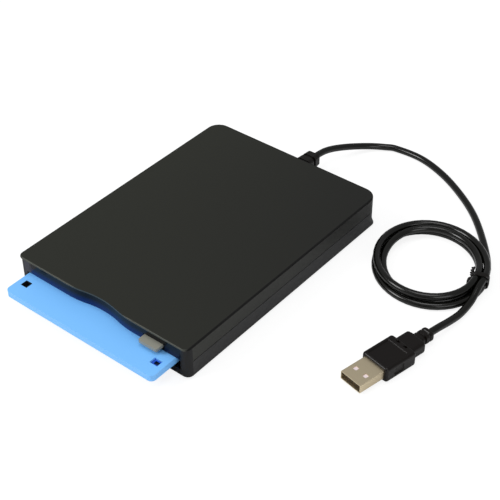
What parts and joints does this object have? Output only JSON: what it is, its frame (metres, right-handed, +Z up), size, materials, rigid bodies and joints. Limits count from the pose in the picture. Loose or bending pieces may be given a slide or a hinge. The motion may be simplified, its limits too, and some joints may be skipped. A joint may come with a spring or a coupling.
{
  "type": "external floppy disk drive",
  "caption": "Slim black external floppy disk drive with a blue disk half ejected, a grey eject button and a captive cord, coiled and tied, ending in a flat plug.",
  "frame": {"origin": "on the table, at the centre of the housing's footprint", "axes": "+X to the right seen from the slot, +Y from the slot to the cord's gland, +Z up"},
  "size_m": [0.1734, 0.2157, 0.0176],
  "materials": {
    "cover_black": "satin",
    "base_black": "matte",
    "gloss_black": "gloss",
    "lamp_green": "gloss",
    "foot_rubber": "matte",
    "steel": "satin",
    "dark_steel": "satin",
    "button_grey": "satin",
    "inner_white": "satin",
    "inner_black": "satin",
    "board_green": "satin",
    "copper": "satin",
    "bronze": "satin",
    "ceramic": "gloss",
    "disk_blue": "satin",
    "shutter_metal": "satin",
    "media_brown": "gloss",
    "liner_white": "matte",
    "cord_rubber": "satin",
    "plug_black": "satin",
    "plug_nickel": "satin",
    "gold": "gloss"
  },
  "bodies": {
    "housing": {"top_cover": "cover_black", "bottom_cover": "base_black", "front_bezel": "gloss_black", "lamp_pipe": "lamp_green", "feet": "foot_rubber", "case_screws": "dark_steel", "chassis": "steel", "top_shield": "steel", "return_springs": "steel", "motor_board": "board_green", "motor_stator": "copper", "spindle_bearing": "bronze", "guide_rod": "steel", "rod_clips": "steel", "screw_bracket": "steel", "stepper_motor": "steel", "motor_bracket": "steel", "main_board": "board_green", "board_chips": "inner_black", "cord_socket": "inner_white", "sensor_switches": "inner_black", "cable_gland": "cord_rubber", "inner_lead": "cord_rubber", "cord_lead": "cord_rubber", "cord_coil": "cord_rubber", "cord_tail": "cord_rubber", "twist_tie": "plug_black", "plug_overmould": "plug_black", "plug_shell": "plug_nickel", "plug_tongue": "inner_black", "plug_contacts": "gold"},
    "eject_slider": {"slider_plate": "steel", "eject_button": "button_grey"},
    "carrier": {"disk_carrier": "steel"},
    "lever": {"shutter_lever": "inner_white"},
    "rotor": {"spindle_rotor": "steel"},
    "carriage": {"head_carriage": "inner_black", "lower_head": "ceramic"},
    "head_arm": {"upper_arm": "inner_black", "upper_head": "ceramic"},
    "screw": {"lead_screw": "steel"},
    "disk": {"disk_lower_shell": "disk_blue", "disk_upper_shell": "disk_blue", "shutter_spring": "steel", "disk_liners": "liner_white"},
    "shutter": {"disk_shutter": "shutter_metal"},
    "media": {"magnetic_disc": "media_brown", "disk_hub": "steel"},
    "tab": {"write_tab": "disk_blue"}
  },
  "joints": [
    {"name": "carrier_drop", "type": "slide", "parent": "housing", "child": "carrier", "axis": [0, 0, -1], "range_m": [0, 0.0017]},
    {"name": "eject_slide", "type": "slide", "parent": "housing", "child": "eject_slider", "axis": [0, -1, 0], "range_m": [0, 0.004]},
    {"name": "disk_slide", "type": "slide", "parent": "carrier", "child": "disk", "axis": [0, 1, 0], "range_m": [0, 0.0142]},
    {"name": "shutter_open", "type": "slide", "parent": "disk", "child": "shutter", "axis": [-1, 0, 0], "range_m": [0, 0.0155]},
    {"name": "lever_swing", "type": "hinge", "parent": "carrier", "child": "lever", "pos_m": [-0.0334, -0.0034, 0.01075], "axis": [0, 0, 1], "range_deg": [0, 41]},
    {"name": "write_tab_slide", "type": "slide", "parent": "disk", "child": "tab", "axis": [0, 1, 0], "range_m": [0, 0.0038]},
    {"name": "media_spin", "type": "hinge", "parent": "disk", "child": "media", "pos_m": [-0.00065, -0.0367, 0.0075], "axis": [0, 0, 1], "continuous": true},
    {"name": "spindle_spin", "type": "hinge", "parent": "housing", "child": "rotor", "pos_m": [-0.00065, -0.0225, 0.004], "axis": [0, 0, 1], "continuous": true},
    {"name": "head_seek", "type": "slide", "parent": "housing", "child": "carriage", "axis": [0, -1, 0], "range_m": [0, 0.01475]},
    {"name": "lead_screw_turn", "type": "hinge", "parent": "housing", "child": "screw", "pos_m": [-0.00965, 0.035, 0.0084], "axis": [0, 1, 0], "range_deg": [0, 1771]},
    {"name": "head_load", "type": "hinge", "parent": "carriage", "child": "head_arm", "pos_m": [-0.00065, 0.045, 0.0115], "axis": [1, 0, 0], "range_deg": [0, 7.5]}
  ],
  "couplings": [
    {"joint": "eject_slide", "follows": "carrier_drop", "ratio": 2.3529},
    {"joint": "head_load", "follows": "carrier_drop", "rad_per_m": 76.99},
    {"joint": "shutter_open", "follows": "disk_slide", "ratio": 1.0915},
    {"joint": "lever_swing", "follows": "disk_slide", "rad_per_m": 50.39},
    {"joint": "lead_screw_turn", "follows": "head_seek", "rad_per_m": 2094.4}
  ]
}
